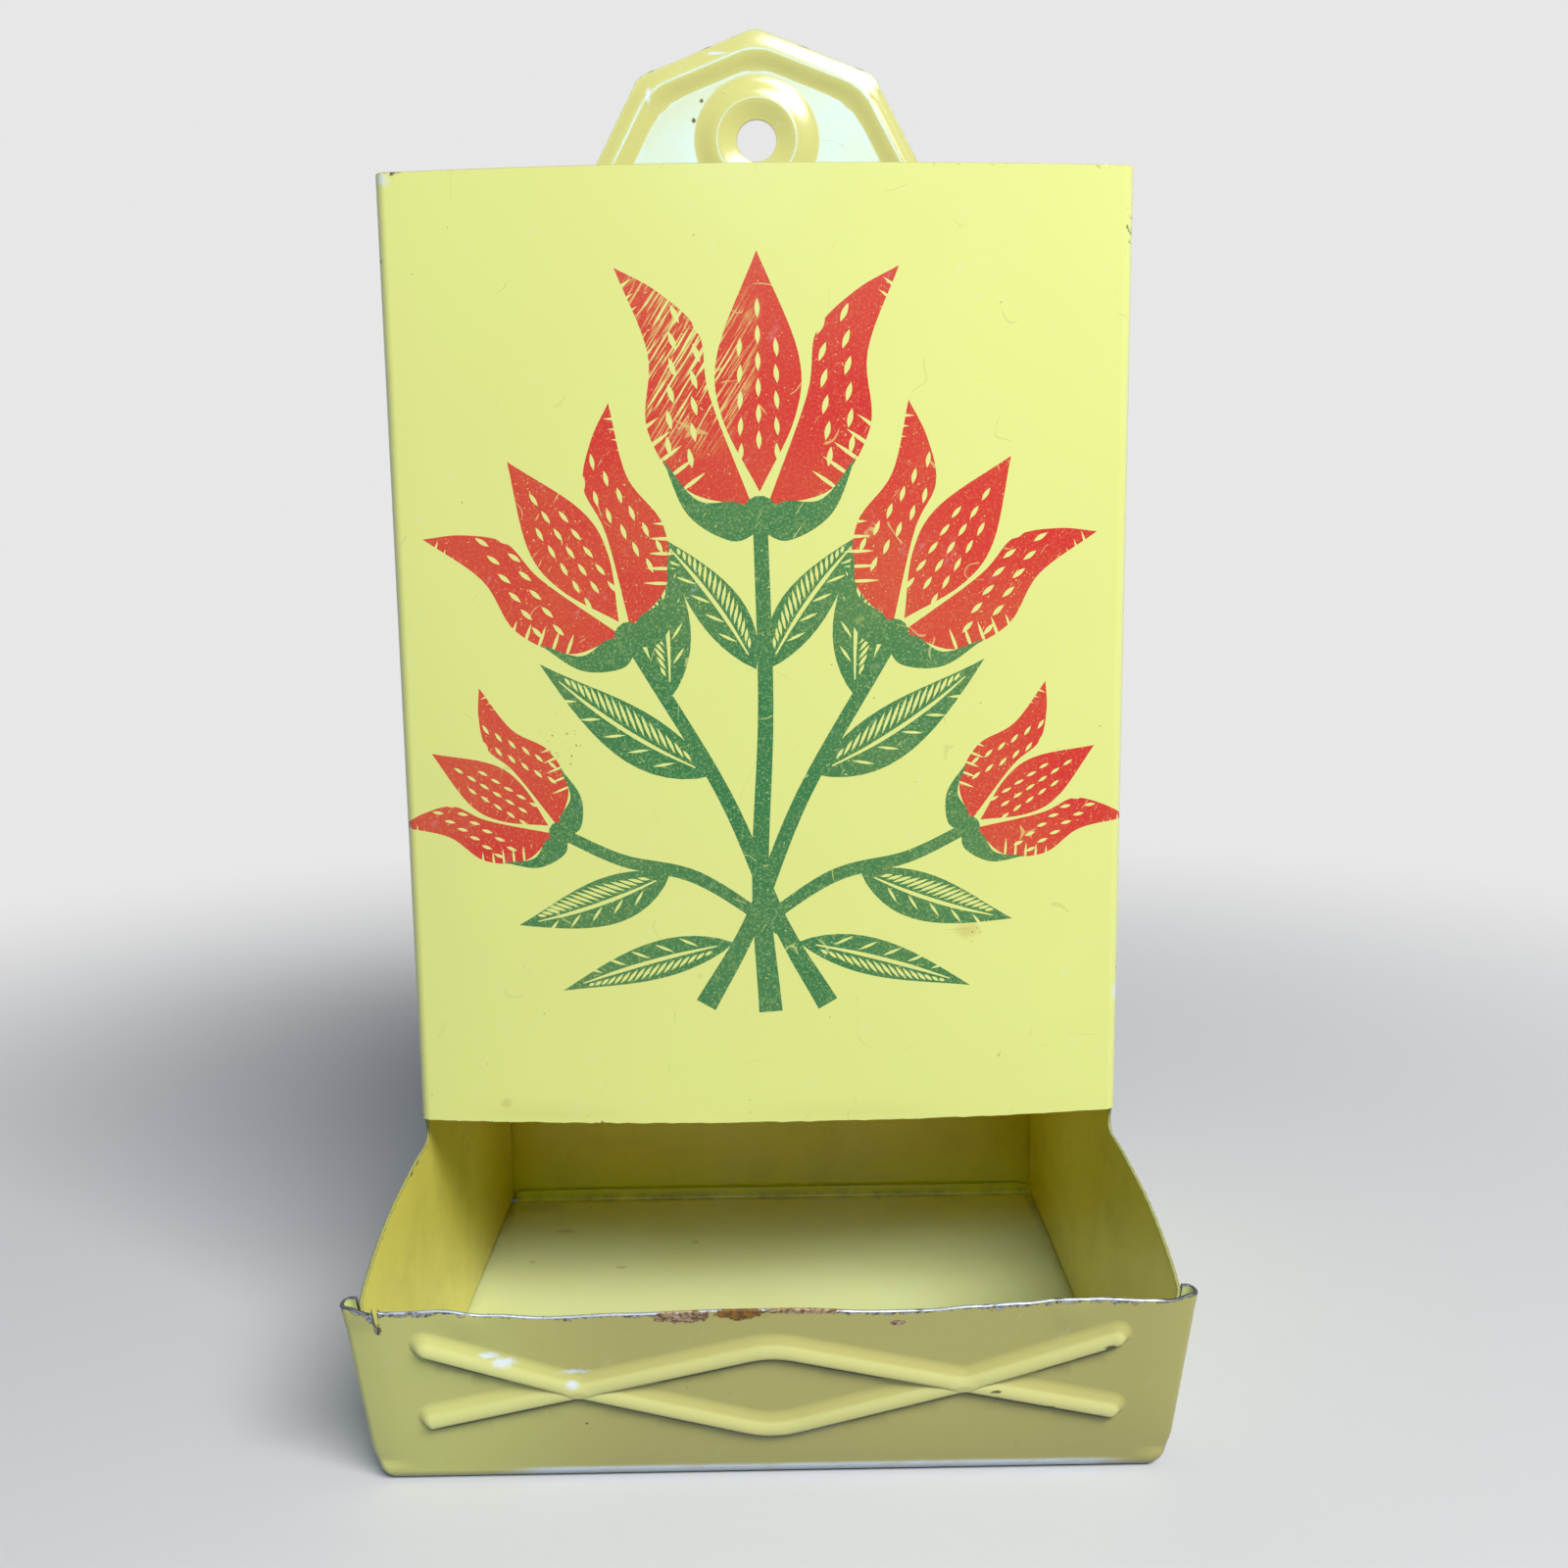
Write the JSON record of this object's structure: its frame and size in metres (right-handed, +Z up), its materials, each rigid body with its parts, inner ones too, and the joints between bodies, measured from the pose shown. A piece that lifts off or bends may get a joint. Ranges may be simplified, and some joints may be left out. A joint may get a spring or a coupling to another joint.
{
  "type": "wall match holder",
  "caption": "Wall-hung tinplate holder for a box of kitchen matches, with a bowed front, an open tray below it, a lattice-embossed apron and a hanger tab with a nail hole.",
  "frame": {"origin": "middle of the bounding box in plan, on the underside of the tray's floor", "axes": "+X to the viewer's right, +Y into the wall that it hangs on, +Z up"},
  "size_m": [0.0838, 0.0724, 0.1615],
  "materials": {
    "lacquered_tinplate": "pale yellow gloss lacquer on tinplate, worn to bare metal along the cut edges"
  },
  "bodies": {
    "root": {"body_wrap": "lacquered_tinplate", "back_panel": "lacquered_tinplate", "tray": "lacquered_tinplate"}
  },
  "joints": []
}
